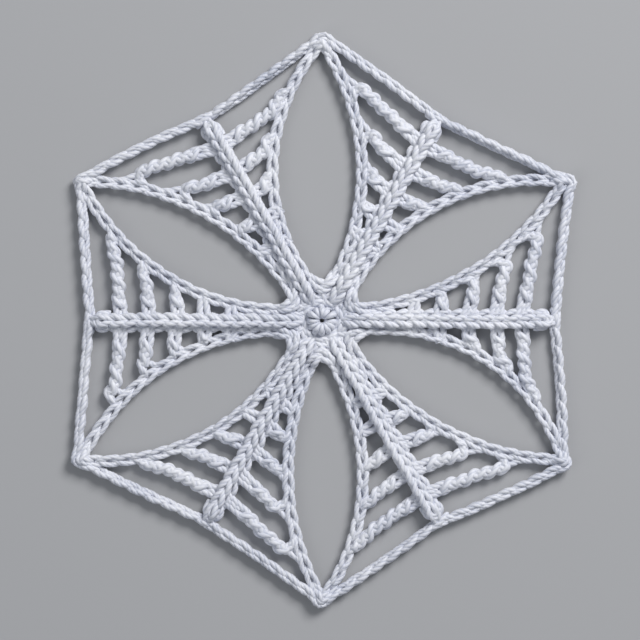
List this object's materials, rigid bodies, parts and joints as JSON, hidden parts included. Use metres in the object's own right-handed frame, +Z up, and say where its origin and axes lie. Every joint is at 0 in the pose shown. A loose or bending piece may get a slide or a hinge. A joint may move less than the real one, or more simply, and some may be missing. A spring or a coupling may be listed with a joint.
{
  "type": "snowflake ornament",
  "caption": "Flat crocheted lace snowflake with ribbed arms, leaf-shaped gaps between them, and a straight chain border tied at knotted corners.",
  "frame": {"origin": "on the surface that the lace lies on, under the hole in the middle of the button", "axes": "+Z up out of the front of the lace, +X out along arm 1, +Y out to the corner that hangs uppermost"},
  "size_m": [0.0702, 0.0806, 0.0025],
  "materials": {
    "cotton_thread": "stiffened white mercerised cotton thread with a faint sheen"
  },
  "bodies": {
    "root": {"centre_button": "cotton_thread", "hub_ring": "cotton_thread", "leaf_end_stitches": "cotton_thread", "arm_1_rib": "cotton_thread", "arm_2_rib": "cotton_thread", "arm_3_rib": "cotton_thread", "arm_4_rib": "cotton_thread", "arm_5_rib": "cotton_thread", "arm_6_rib": "cotton_thread", "arm_1_left_edge": "cotton_thread", "arm_2_left_edge": "cotton_thread", "arm_3_left_edge": "cotton_thread", "arm_4_left_edge": "cotton_thread", "arm_5_left_edge": "cotton_thread", "arm_6_left_edge": "cotton_thread", "arm_1_right_edge": "cotton_thread", "arm_2_right_edge": "cotton_thread", "arm_3_right_edge": "cotton_thread", "arm_4_right_edge": "cotton_thread", "arm_5_right_edge": "cotton_thread", "arm_6_right_edge": "cotton_thread", "arm_1_left_rungs": "cotton_thread", "arm_2_left_rungs": "cotton_thread", "arm_3_left_rungs": "cotton_thread", "arm_4_left_rungs": "cotton_thread", "arm_5_left_rungs": "cotton_thread", "arm_6_left_rungs": "cotton_thread", "arm_1_right_rungs": "cotton_thread", "arm_2_right_rungs": "cotton_thread", "arm_3_right_rungs": "cotton_thread", "arm_4_right_rungs": "cotton_thread", "arm_5_right_rungs": "cotton_thread", "arm_6_right_rungs": "cotton_thread", "border_1_left_chain": "cotton_thread", "border_2_left_chain": "cotton_thread", "border_3_left_chain": "cotton_thread", "border_4_left_chain": "cotton_thread", "border_5_left_chain": "cotton_thread", "border_6_left_chain": "cotton_thread", "border_1_right_chain": "cotton_thread", "border_2_right_chain": "cotton_thread", "border_3_right_chain": "cotton_thread", "border_4_right_chain": "cotton_thread", "border_5_right_chain": "cotton_thread", "border_6_right_chain": "cotton_thread", "tip_stitch_1": "cotton_thread", "tip_stitch_2": "cotton_thread", "tip_stitch_3": "cotton_thread", "tip_stitch_4": "cotton_thread", "tip_stitch_5": "cotton_thread", "tip_stitch_6": "cotton_thread", "corner_knot_1": "cotton_thread", "corner_knot_2": "cotton_thread", "corner_knot_3": "cotton_thread", "corner_knot_4": "cotton_thread", "corner_knot_5": "cotton_thread", "corner_knot_6": "cotton_thread"}
  },
  "joints": []
}
